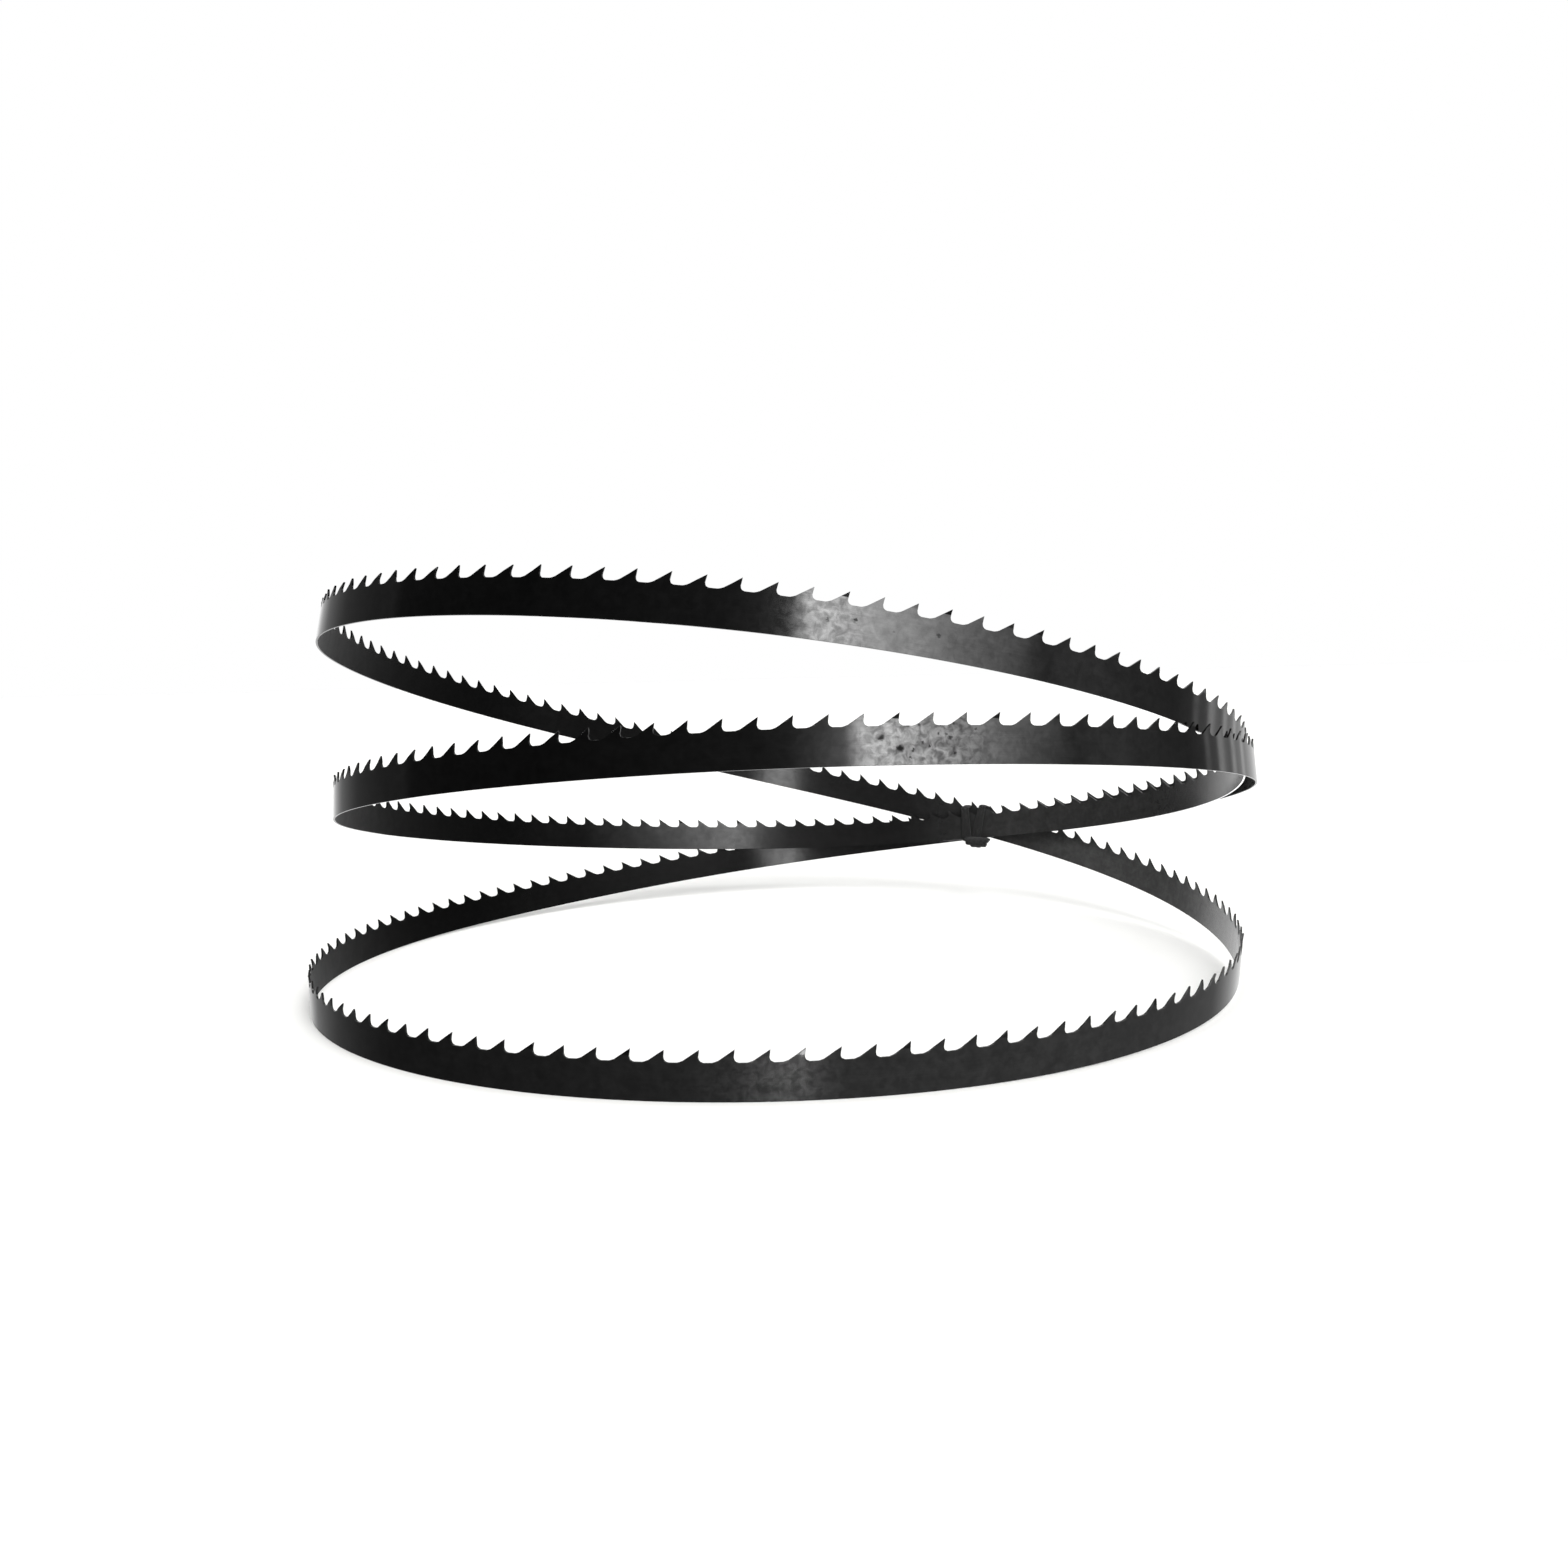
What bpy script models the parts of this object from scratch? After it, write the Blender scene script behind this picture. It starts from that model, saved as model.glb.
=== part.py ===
"""Endless band saw blade, folded into three coils and held by a cord tie.

Metres, +Z up.  The bottom coil lies flat on z = 0, the teeth point up, and X and Y
are centred on the coils.  Seen from above the band runs anticlockwise: it makes
three turns before its two ends meet at the weld.
"""

import math

import bmesh
import bpy
import numpy as np

MM = 0.001

# The band: a half-inch blade with three teeth to the inch.
BAND_WIDTH = 12.7 * MM          # from the tooth tips to the back edge
BAND_THICKNESS = 0.635 * MM
TOOTH_PITCH = 25.4 / 3 * MM
TOOTH_COUNT = 332

# One tooth.
GULLET_DEPTH = 3.2 * MM
GULLET_RADIUS = 1.1 * MM        # between the tooth face and the gullet floor
GULLET_FLOOR = 2.2 * MM         # length of the flat floor
HOOK_ANGLE = 8.0                # degrees that the tooth face leans forward
BACK_ROUND = 1.3 * MM           # run of the soft start of the tooth's back
TOOTH_SET = 0.25 * MM           # sideways bend of a set tooth at its tip
SET_HEIGHT = 1.9 * MM           # of the part that is bent, below the tip
SET_PATTERN = (-1, 1, 0)        # inward, outward, straight
WELD_TOOTH = 249                # the set pattern starts again at the weld
TOOTH_PHASE = 0.043             # share of a pitch from the left turn to the first tip

# The coils: a smooth closed curve drawn by eight control points a turn, 45 degrees
# apart, from the left turn round the front to the right.  Each has its distance from
# the middle of the coils and the height of the band's back edge, in millimetres.
COIL_POINTS = (
    # top coil
    (147, 108), (146, 120), (146, 113), (146, 86), (148, 52), (144, 27), (144, 16), (147, 27),
    # middle coil
    (145, 50), (143, 71), (142, 81), (151, 75), (150, 55), (151, 28), (146, 12), (145, 0),
    # bottom coil
    (153, 0), (156, 0), (151, 0), (148, 0), (143, 4), (148, 19), (148, 45), (148, 78),
)
TURNS = 3
FIRST_ANGLE = -math.pi          # the first control point is at -X

# The tie: two turns of soft flat cord round the place where the three coils cross.
# Each turn lies in a gullet at the top, where it is gathered narrow.
TIE_ANGLE = math.radians(57.3)
TIE_CORD_WIDTH = 4.4 * MM
TIE_GATHERED_WIDTH = 2.6 * MM
TIE_CORD_THICKNESS = 0.9 * MM
TIE_CLEARANCE = 0.35 * MM
TIE_SHOULDER = 5.0 * MM         # height at the top over which the cord is gathered
TIE_TOP_SPREAD = 4.2 * MM       # of each turn from the middle of the tie, at the top
TIE_BOTTOM_SPREAD = 1.8 * MM     # under the bands, where the two turns touch
KNOT_SHIFT = -3.2 * MM          # along the band, from the middle of the tie
KNOT_LENGTH = 11.5 * MM
KNOT_DEPTH = 5.0 * MM
KNOT_HEIGHT = 4.9 * MM

CURVE_SAMPLES = 4320
SECTION_STEP = 0.25 * MM         # along the bands, where the tie measures them
WELD_DISTANCE = 0.05 * MM


def clear_scene():
    for item in list(bpy.data.objects):
        bpy.data.objects.remove(item)


def make_collection(name):
    collection = bpy.data.collections.new(name)
    bpy.context.scene.collection.children.link(collection)
    return collection


def make_material(name, colour, roughness, metallic):
    material = bpy.data.materials.new(name)
    material.use_nodes = True
    shader = material.node_tree.nodes["Principled BSDF"]
    shader.inputs["Base Color"].default_value = (*colour, 1.0)
    shader.inputs["Roughness"].default_value = roughness
    shader.inputs["Metallic"].default_value = metallic
    return material


def spline(turn_share, order):
    """Value and derivatives of the closed cubic B-spline through the coil points."""
    points = np.array(COIL_POINTS, float) * MM
    count = len(points)
    place = turn_share * count
    start = np.floor(place).astype(int)
    u = (place - start)[:, None]
    if order == 0:
        weights = ((1 - u) ** 3 / 6, (3 * u**3 - 6 * u**2 + 4) / 6,
                   (-3 * u**3 + 3 * u**2 + 3 * u + 1) / 6, u**3 / 6)
    elif order == 1:
        weights = (-(1 - u) ** 2 / 2, (9 * u**2 - 12 * u) / 6,
                   (-9 * u**2 + 6 * u + 3) / 6, u**2 / 2)
    else:
        weights = (1 - u, 3 * u - 2, -3 * u + 1, u)
    step = count / (TURNS * 2 * math.pi)
    total = sum(w * points[(start + i - 1) % count] for i, w in enumerate(weights))
    return total * step**order


def coil_frame(angle):
    """Back edge point, direction of travel, width direction and outward direction.

    A thin springy band can't bend in its own plane, so its width always lies along
    the binormal of the curve that its edge follows.
    """
    share = (angle - FIRST_ANGLE) / (TURNS * 2 * math.pi)
    radius, height = spline(share, 0).T
    radius_1, height_1 = spline(share, 1).T
    radius_2, height_2 = spline(share, 2).T
    cos, sin = np.cos(angle), np.sin(angle)
    point = np.stack((radius * cos, radius * sin, height), 1)
    first = np.stack((radius_1 * cos - radius * sin, radius_1 * sin + radius * cos, height_1), 1)
    second = np.stack((radius_2 * cos - 2 * radius_1 * sin - radius * cos,
                       radius_2 * sin + 2 * radius_1 * cos - radius * sin, height_2), 1)
    along = first / np.linalg.norm(first, axis=1)[:, None]
    across = np.cross(first, second)
    across /= np.linalg.norm(across, axis=1)[:, None]
    return point, along, across, np.cross(along, across)


class Coil:
    """The folded band's curve, sized so that the teeth go round it exactly."""

    def __init__(self):
        self.length = TOOTH_COUNT * TOOTH_PITCH
        self.angles = FIRST_ANGLE + np.linspace(0, TURNS * 2 * math.pi, CURVE_SAMPLES + 1)
        points = coil_frame(self.angles)[0]
        steps = np.linalg.norm(np.diff(points, axis=0), axis=1)
        self.travel = np.concatenate(((0.0,), np.cumsum(steps)))
        self.scale = self.length / self.travel[-1]
        self.travel *= self.scale
        outline = points * self.scale
        self.centre = (outline.min(0) + outline.max(0)) / 2
        self.centre[2] = 0.0

    def frame(self, travel):
        angle = np.interp(np.mod(travel, self.length), self.travel, self.angles)
        point, along, across, outward = coil_frame(angle)
        return point * self.scale - self.centre, along, across, outward

    def travel_at(self, angle, turn):
        """Distance travelled when the band passes an angle on its given turn."""
        return float(np.interp(angle + turn * 2 * math.pi, self.angles, self.travel))


def tooth_outline():
    """Top edge of one pitch, from the start of a gullet floor to the next one.

    Each point is a distance along the band and a height over the back edge.
    """
    floor = BAND_WIDTH - GULLET_DEPTH
    hook = math.radians(HOOK_ANGLE)
    # The gullet's arc touches the leaning face of the tooth and the next floor.
    reach = GULLET_RADIUS / math.tan((math.pi / 2 - hook) / 2)
    corner = TOOTH_PITCH - reach
    tip = corner + GULLET_DEPTH * math.tan(hook)
    arc_middle = math.pi + (math.pi / 2 - hook) / 2
    slope = GULLET_DEPTH / (tip - GULLET_FLOOR - BACK_ROUND / 2)
    return {
        "floor_start": (0.0, floor),
        "floor_end": (GULLET_FLOOR, floor),
        "back_start": (GULLET_FLOOR + BACK_ROUND, floor + slope * BACK_ROUND / 2),
        "tip": (tip, BAND_WIDTH),
        "face_end": (corner + reach * math.sin(hook), floor + reach * math.cos(hook)),
        "gullet": (TOOTH_PITCH + GULLET_RADIUS * math.cos(arc_middle),
                   floor + GULLET_RADIUS * (1 + math.sin(arc_middle))),
        "next_floor": (TOOTH_PITCH, floor),
    }


def first_plate_start():
    """Distance travelled where the pitch that holds the first tooth begins."""
    return TOOTH_PHASE * TOOTH_PITCH - tooth_outline()["tip"][0]


def set_side(tooth):
    """Side to which a tooth is bent; the pattern starts again at the weld."""
    return SET_PATTERN[(tooth - WELD_TOOTH) % TOOTH_COUNT % len(SET_PATTERN)]


def flat_band():
    """The toothed strip before it is bent, lying along X with its teeth to +Y."""
    outline = list(tooth_outline().values())
    mesh = bpy.data.meshes.new("one_pitch")
    form = bmesh.new()
    corners = [(TOOTH_PITCH, 0.0)] + outline[::-1] + [(0.0, 0.0)]
    form.faces.new([form.verts.new((x, y, 0.0)) for x, y in corners])
    form.to_mesh(mesh)
    form.free()
    strip = bpy.data.objects.new("one_pitch", mesh)
    bpy.context.scene.collection.objects.link(strip)

    row = strip.modifiers.new("teeth", "ARRAY")
    row.count = TOOTH_COUNT
    row.use_relative_offset = False
    row.use_constant_offset = True
    row.constant_offset_displace = (TOOTH_PITCH, 0.0, 0.0)
    row.use_merge_vertices = True
    row.merge_threshold = WELD_DISTANCE
    sheet = strip.modifiers.new("sheet", "SOLIDIFY")
    sheet.thickness = BAND_THICKNESS
    sheet.offset = 0.0

    graph = bpy.context.evaluated_depsgraph_get()
    band = bpy.data.meshes.new_from_object(strip.evaluated_get(graph))
    bpy.data.objects.remove(strip)
    return band


def bend_band(band, coil):
    """Sets the teeth, lays the strip along the coils and welds its two ends."""
    form = bmesh.new()
    form.from_mesh(band)
    length = coil.length
    near = WELD_DISTANCE
    ends = [face for face in form.faces
            if all(v.co.x < near for v in face.verts) or all(v.co.x > length - near for v in face.verts)]
    bmesh.ops.delete(form, geom=ends, context="FACES")
    bmesh.ops.triangulate(form, faces=form.faces)

    flat = np.array([v.co for v in form.verts])
    teeth = np.minimum(flat[:, 0] / TOOTH_PITCH, TOOTH_COUNT - 1).astype(int)
    sides = np.array([set_side(tooth) for tooth in range(TOOTH_COUNT)])[teeth]
    bend = np.clip(1 - (BAND_WIDTH - flat[:, 1]) / SET_HEIGHT, 0, 1)
    bent = flat[:, 2] + TOOTH_SET * sides * bend
    point, along, across, outward = coil.frame(flat[:, 0] + first_plate_start())
    laid = point + across * flat[:, 1:2] + outward * bent[:, None]
    for vertex, place in zip(form.verts, laid):
        vertex.co = place
    bmesh.ops.remove_doubles(form, verts=form.verts, dist=WELD_DISTANCE)
    bmesh.ops.recalc_face_normals(form, faces=form.faces)
    form.to_mesh(band)
    form.free()


def make_blade(collection, coil):
    band = flat_band()
    bend_band(band, coil)
    band.name = "blade"
    band.shade_smooth()
    band.set_sharp_from_angle(angle=math.radians(30))
    band.materials.append(make_material("spring_steel", (0.09, 0.09, 0.092), 0.28, 1.0))
    blade = bpy.data.objects.new("blade", band)
    collection.objects.link(blade)


class TieFrame:
    """Cross-section of the three crossing bands where the tie goes round them.

    Points are held as distance along the band from the middle of the tie, distance
    out from the middle of the coils, and height.
    """

    def __init__(self, coil):
        self.along = np.array((-math.sin(TIE_ANGLE), math.cos(TIE_ANGLE), 0.0))
        self.out = np.array((math.cos(TIE_ANGLE), math.sin(TIE_ANGLE), 0.0))
        self.shift = -coil.centre @ self.along
        reach = KNOT_LENGTH
        points = [self.band_points(coil, coil.travel_at(TIE_ANGLE, turn), reach)
                  for turn in range(TURNS)]
        self.points = np.concatenate(points)
        middle = self.points[np.abs(self.points[:, 0]) < TIE_BOTTOM_SPREAD]
        self.low = middle[:, 2].min()
        self.high = middle[:, 2].max()

    def band_points(self, coil, middle, reach):
        """Corners of one band's section, close together along the tie."""
        travel = middle + np.arange(-reach, reach, SECTION_STEP)
        outline = tooth_outline()
        tops = ("floor_start", "floor_end", "back_start", "tip", "next_floor")
        runs, heights = zip(*(outline[name] for name in tops))
        place = np.mod(travel - first_plate_start(), TOOTH_PITCH)
        top = np.interp(place, runs, heights)
        point, _, across, outward = coil.frame(travel)
        half = BAND_THICKNESS / 2
        corners = []
        for height, side in ((0 * top, half), (top, half + TOOTH_SET)):
            for sign in (-1, 1):
                corners.append(point + across * height[:, None] + outward * side * sign)
        corners = np.concatenate(corners)
        return np.stack((corners @ self.along - self.shift, corners @ self.out, corners[:, 2]), 1)

    def spread(self, height):
        """Distance of a turn of cord from the middle: the two turns lean together below."""
        share = np.clip((height - self.low) / (self.high - self.low), 0, 1)
        return TIE_BOTTOM_SPREAD + (TIE_TOP_SPREAD - TIE_BOTTOM_SPREAD) * share

    def half_width(self, height):
        """Half the cord's width: it is gathered into the gullets at the top."""
        share = np.clip((self.high - height) / TIE_SHOULDER, 0, 1)
        return (TIE_GATHERED_WIDTH + (TIE_CORD_WIDTH - TIE_GATHERED_WIDTH) * share) / 2

    def place(self, along, out, height):
        return self.along * (along + self.shift) + self.out * out + np.array((0, 0, height))


def tie_turn(frame, side):
    """One turn of flattened cord, drawn tight round the bands with rounded corners."""
    stations, ring = 32, 10
    lane = np.abs(frame.points[:, 0] - side * frame.spread(frame.points[:, 2]))
    near = frame.points[lane < TIE_GATHERED_WIDTH / 2]
    half_thickness = TIE_CORD_THICKNESS / 2
    form = bmesh.new()
    rings = []
    for station in range(stations):
        angle = 2 * math.pi * station / stations
        facing = np.array((math.cos(angle), math.sin(angle)))
        touched = near[np.argmax(near[:, 1:] @ facing), 1:]
        out, height = touched + facing * (TIE_CLEARANCE + half_thickness)
        middle = frame.place(side * frame.spread(height), out, height)
        half_width = frame.half_width(height)
        away = frame.out * facing[0] + np.array((0, 0, facing[1]))
        verts = []
        for step in range(ring):
            turn = 2 * math.pi * step / ring
            verts.append(form.verts.new(middle + away * half_thickness * math.cos(turn)
                                        + frame.along * half_width * math.sin(turn)))
        rings.append(verts)
    for first, second in zip(rings, rings[1:] + rings[:1]):
        for step in range(ring):
            after = (step + 1) % ring
            form.faces.new((first[step], second[step], second[after], first[after]))
    bmesh.ops.recalc_face_normals(form, faces=form.faces)
    return mesh_from(form, "tie_turn")


def tie_knot(frame):
    """The pulled knot, on the bands' inner side and level with their back edges."""
    near = frame.points[np.abs(frame.points[:, 0] - KNOT_SHIFT) < KNOT_LENGTH / 2]
    height = near[:, 2].min()
    inner = near[near[:, 2] < height + KNOT_HEIGHT / 2][:, 1].min()
    out = inner - KNOT_DEPTH / 2 - TIE_CLEARANCE
    form = bmesh.new()
    bmesh.ops.create_uvsphere(form, u_segments=20, v_segments=12, radius=0.5)
    middle = frame.place(KNOT_SHIFT, out, height)
    for vertex in form.verts:
        x, y, z = vertex.co
        vertex.co = (middle + frame.along * x * KNOT_LENGTH + frame.out * y * KNOT_DEPTH
                     + np.array((0, 0, z * KNOT_HEIGHT)))
    bmesh.ops.recalc_face_normals(form, faces=form.faces)
    return mesh_from(form, "tie_knot")


def mesh_from(form, name):
    mesh = bpy.data.meshes.new(name)
    form.to_mesh(mesh)
    form.free()
    return mesh


def make_tie(collection, tools, coil):
    frame = TieFrame(coil)
    tie = bpy.data.objects.new("coil_tie", tie_turn(frame, 1))
    tie.data.materials.append(make_material("black_cord", (0.012, 0.012, 0.013), 0.75, 0.0))
    collection.objects.link(tie)
    for name, mesh in (("second_turn", tie_turn(frame, -1)), ("knot", tie_knot(frame))):
        added = bpy.data.objects.new(name, mesh)
        added.hide_render = True
        added.display_type = "WIRE"
        tools.objects.link(added)
        union = tie.modifiers.new(name, "BOOLEAN")
        union.operation = "UNION"
        union.object = added
    tie.data.shade_smooth()


def main():
    clear_scene()
    collection = make_collection("band_saw_blade")
    tools = make_collection("tie_tools")
    coil = Coil()
    make_blade(collection, coil)
    make_tie(collection, tools, coil)


main()
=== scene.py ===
# %% [markdown]
# # A band saw blade folded into three coils
#
# A band saw blade is one endless steel strip with teeth along an edge. For storage it is
# folded into three coils and tied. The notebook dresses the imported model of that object.
# The model comes first, because every piece below is placed in its frame.

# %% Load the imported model
import math

import bmesh
import bpy
import numpy as np
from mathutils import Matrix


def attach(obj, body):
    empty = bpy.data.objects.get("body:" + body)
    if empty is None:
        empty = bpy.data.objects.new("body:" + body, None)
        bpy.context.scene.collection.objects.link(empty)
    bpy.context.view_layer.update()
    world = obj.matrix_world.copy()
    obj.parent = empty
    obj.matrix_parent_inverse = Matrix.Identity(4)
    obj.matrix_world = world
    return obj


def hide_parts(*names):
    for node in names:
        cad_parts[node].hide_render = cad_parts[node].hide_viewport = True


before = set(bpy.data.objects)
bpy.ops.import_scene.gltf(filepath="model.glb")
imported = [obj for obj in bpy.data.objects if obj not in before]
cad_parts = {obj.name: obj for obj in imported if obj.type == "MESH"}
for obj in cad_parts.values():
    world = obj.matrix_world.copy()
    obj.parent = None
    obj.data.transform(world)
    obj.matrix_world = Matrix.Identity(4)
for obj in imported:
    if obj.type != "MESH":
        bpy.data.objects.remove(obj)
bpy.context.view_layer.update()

# %% [markdown]
# ## One helper for every node tree
#
# Shader trees, the world and Geometry Nodes are all graphs of nodes with sockets. One small
# function adds a node, sets its options and fills its inputs with values or links. That
# keeps each tree below readable from top to bottom, like a recipe.

# %% Add a node
MM = 0.001


def add(tree, kind, inputs=None, **settings):
    """Adds a node. Each input is a socket's name or number with a value, a socket or a node."""
    node = tree.nodes.new(kind)
    for name, value in settings.items():
        setattr(node, name, value)
    for key, value in (inputs or {}).items():
        if isinstance(value, bpy.types.Node):
            value = value.outputs[0]    # a node stands for its first output
        if isinstance(value, bpy.types.NodeSocket):
            tree.links.new(value, node.inputs[key])
        else:
            node.inputs[key].default_value = value
    return node


def linear(hex_colour):
    """The linear RGBA that a shader needs, from an sRGB colour such as #808080."""
    shares = [int(hex_colour[place:place + 2], 16) / 255 for place in (1, 3, 5)]
    return tuple(s / 12.92 if s <= 0.04045 else ((s + 0.055) / 1.055) ** 2.4 for s in shares) + (1.0,)


# %% [markdown]
# ## The camera
#
# The photograph looks across the coils from just above the top one. Its position, tilt and
# focal length were worked out from the tooth tips, which lie at known distances along the
# band. A focal length in pixels becomes a lens in millimetres once the sensor width is set.

# %% Place the camera
PHOTO_WIDTH = 1568
SENSOR_WIDTH = 36.0                     # millimetres
FOCAL_PIXELS = 1491.8
CAMERA_PLACE = (0.96 * MM, -494.36 * MM, 107.73 * MM)
CAMERA_PITCH = math.radians(5.356)      # down
CAMERA_ROLL = math.radians(-1.394)

camera_data = bpy.data.cameras.new("photo_camera")
camera_data.sensor_fit = "HORIZONTAL"
camera_data.sensor_width = SENSOR_WIDTH
camera_data.lens = SENSOR_WIDTH * FOCAL_PIXELS / PHOTO_WIDTH
camera_data.clip_start = 10 * MM
camera = bpy.data.objects.new("photo_camera", camera_data)
bpy.context.scene.collection.objects.link(camera)
camera.location = CAMERA_PLACE
camera.rotation_mode = "ZXY"
camera.rotation_euler = (math.pi / 2 - CAMERA_PITCH, 0.0, 0.0)
camera.rotation_euler.rotate_axis("Z", CAMERA_ROLL)
bpy.context.scene.camera = camera
print("lens:", round(camera_data.lens, 2), "mm")

# %% [markdown]
# ## Floor and light
#
# The blade is a dark mirror, so what it reflects matters more than what shines on it. In
# the photograph it reflects a dark room in front, one tall bright window a little to the
# right of the camera, and white card at the back and the sides. A world shader can paint
# those by direction. Lamps could do it too, but each soft edge would need its own lamp. One
# low light behind the blade is added, so that its back isn't black when seen from there.

# %% Lay the floor
FLOOR_SIZE = 8.0
FLOOR_DROP = 0.05 * MM                  # clear of the steel, so that they don't flicker

floor_mesh = bpy.data.meshes.new("floor")
corner = FLOOR_SIZE / 2
floor_mesh.from_pydata([(-corner, -corner, -FLOOR_DROP), (corner, -corner, -FLOOR_DROP),
                        (corner, corner, -FLOOR_DROP), (-corner, corner, -FLOOR_DROP)],
                       [], [(0, 1, 2, 3)])
floor = bpy.data.objects.new("floor", floor_mesh)
bpy.context.scene.collection.objects.link(floor)

paper = bpy.data.materials.new("pale_matt_paper")
paper.use_nodes = True
paper_shader = paper.node_tree.nodes["Principled BSDF"]
for socket, value in (("Base Color", linear("#f4f4f2")), ("Roughness", 0.9),
                      ("Specular IOR Level", 0.2)):
    paper_shader.inputs[socket].default_value = value
floor_mesh.materials.append(paper)
floor.visible_glossy = False            # the steel reflects the room below, painted next
print("floor:", FLOOR_SIZE, "m across")

# %% Where the room is bright
# Each list holds (degrees, brightness). Azimuth 0 is towards the camera, positive to its
# right as it looks at the blade, and 180 is behind the blade.
ALL_ROUND = (-180, 180)
DOWN_TO_UP = (-90, 90)
BLINDS_SPAN = (108, 142)
WALLS = ((-180, 1.0), (-157, 1.05), (-150, 0.64), (-142, 0.31), (-128, 0.15), (-112, 0.14),
         (-104, 0.17), (-101, 0.09), (-62, 0.09), (-58, 0.10), (-35, 0.13), (-10, 0.20),
         (-2, 0.32), (5, 0.58), (9, 0.50), (15, 0.24), (60, 0.34), (66, 0.46), (70, 0.62),
         (79, 0.64), (82, 0.52), (94, 0.35), (104, 0.23), (117, 0.30), (125, 0.37), (133, 0.52),
         (141, 0.62), (150, 0.84), (163, 0.95), (180, 1.0))
BLINDS = ((112, 0.0), (113, 1.5), (114.3, 1.5), (115.5, 0.25), (119, 0.2), (120.3, 2.8),
          (121.8, 2.6), (124, 0.8), (126.5, 0.1), (128.2, 0.3), (129, 1.5), (130.4, 1.2),
          (132, 0.1), (135.6, 0.1), (136.6, 0.9), (137.8, 0.8), (139.5, 0.0))  # over the walls
GROUND = ((-180, 1.0), (-150, 0.72), (-142, 0.38), (-125, 0.22), (-100, 0.14), (-49, 0.28),
          (-24, 0.40), (1, 0.62), (26, 0.74), (77, 0.85), (102, 0.60), (127, 0.36), (150, 0.9),
          (180, 1.0))
EVEN = ((-180, 1.0), (180, 1.0))
LIGHTS = {                              # power, then brightness by azimuth and by elevation
    "curtain": (1.0, ((-5, 0.0), (3, 0.36), (8, 1.0), (11, 1.0), (14, 0.0)),
                ((8, 0.0), (12, 1.0), (20, 1.0), (25, 0.0))),
    "window": (11.0, ((7.5, 1.0), (10.5, 1.0), (20, 0.80), (44, 0.26), (61, 0.085), (64, 0.02),
                      (68, 0.0)),
               ((4, 0.0), (8, 0.25), (13, 1.0), (52, 1.0), (60, 0.0))),
    "slot": (12.0, ((-2.5, 0.0), (2, 1.0), (6, 1.0), (10, 0.0)),
             ((-8, 0.0), (-4, 1.0), (4, 1.0), (9, 0.0))),
    "ceiling": (2.3, EVEN, ((60, 0.0), (75, 1.0))),
    "behind": (5.0, ((-180, 0.35), (-163, 0.75), (-140, 0.15), (-115, 0.0), (115, 0.0),
                     (138, 0.12), (152, 0.5), (163, 1.0), (170, 0.9), (180, 0.35)),
               ((-80, 0.3), (-45, 1.0), (-30, 1.0), (-20, 0.0))),
}

# %% Measure the direction in degrees
world = bpy.data.worlds.new("studio")
world.use_nodes = True
bpy.context.scene.world = world
room = world.node_tree
room.nodes.clear()

direction = add(room, "ShaderNodeTexCoord").outputs["Generated"]
to_right, to_back, to_top = add(room, "ShaderNodeSeparateXYZ", {0: direction}).outputs
to_camera = add(room, "ShaderNodeMath", {0: to_back, 1: -1.0}, operation="MULTIPLY")
turned = add(room, "ShaderNodeMath", {0: to_right, 1: to_camera}, operation="ARCTAN2")
azimuth = add(room, "ShaderNodeMath", {0: turned}, operation="DEGREES")
raised = add(room, "ShaderNodeMath", {0: to_top}, operation="ARCSINE")
elevation = add(room, "ShaderNodeMath", {0: raised}, operation="DEGREES")

# %% Turn each list into a colour ramp
painted = {"walls": (azimuth, ALL_ROUND, WALLS), "blinds": (azimuth, BLINDS_SPAN, BLINDS),
           "ground": (azimuth, ALL_ROUND, GROUND)}
for name, (_, across, upwards) in LIGHTS.items():
    painted[name + " across"] = (azimuth, ALL_ROUND, across)
    painted[name + " upwards"] = (elevation, DOWN_TO_UP, upwards)

ramps = {}
for name, (angle, (low, high), stops) in painted.items():
    share = add(room, "ShaderNodeMapRange", {0: angle, 1: low, 2: high})
    ramps[name] = add(room, "ShaderNodeValToRGB", {0: share})
    elements = ramps[name].color_ramp.elements
    while len(elements) < len(stops):
        elements.new(1.0)
    for element, (degrees, brightness) in zip(elements, stops):
        element.position = (degrees - low) / (high - low)
        element.color = (brightness, brightness, brightness, 1.0)
print("room:", len(ramps), "ramps")

# %% Add up the walls, the ground and the lights
GROUND_LINE = (-13.0, -9.0)             # the walls give way to the ground between these
WINDOW_EDGE = 5.3                       # azimuth of the window's left edge
WINDOW_SOFT = 4.5                       # degrees over which it fades in
WINDOW_LEVEL = 27.0                     # the elevation where it has that azimuth
WINDOW_LEAN = 0.4                       # degrees to the left for each degree up

walls = add(room, "ShaderNodeMath", {0: ramps["walls"], 1: ramps["blinds"], 2: ramps["walls"]},
            operation="MULTIPLY_ADD")
over_ground = add(room, "ShaderNodeMapRange", {0: elevation, 1: GROUND_LINE[0], 2: GROUND_LINE[1]})
lit = add(room, "ShaderNodeMix", {"Factor": over_ground, "A": ramps["ground"], "B": walls})
over_level = add(room, "ShaderNodeMath", {0: elevation, 1: WINDOW_LEVEL}, operation="SUBTRACT")
past_edge = add(room, "ShaderNodeMath", {0: over_level, 1: WINDOW_LEAN, 2: azimuth},
                operation="MULTIPLY_ADD")
window_edge = add(room, "ShaderNodeMapRange",
                  {0: past_edge, 1: WINDOW_EDGE, 2: WINDOW_EDGE + WINDOW_SOFT})
ramps["window across"] = add(room, "ShaderNodeMath", {0: ramps["window across"], 1: window_edge},
                             operation="MULTIPLY")
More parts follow.
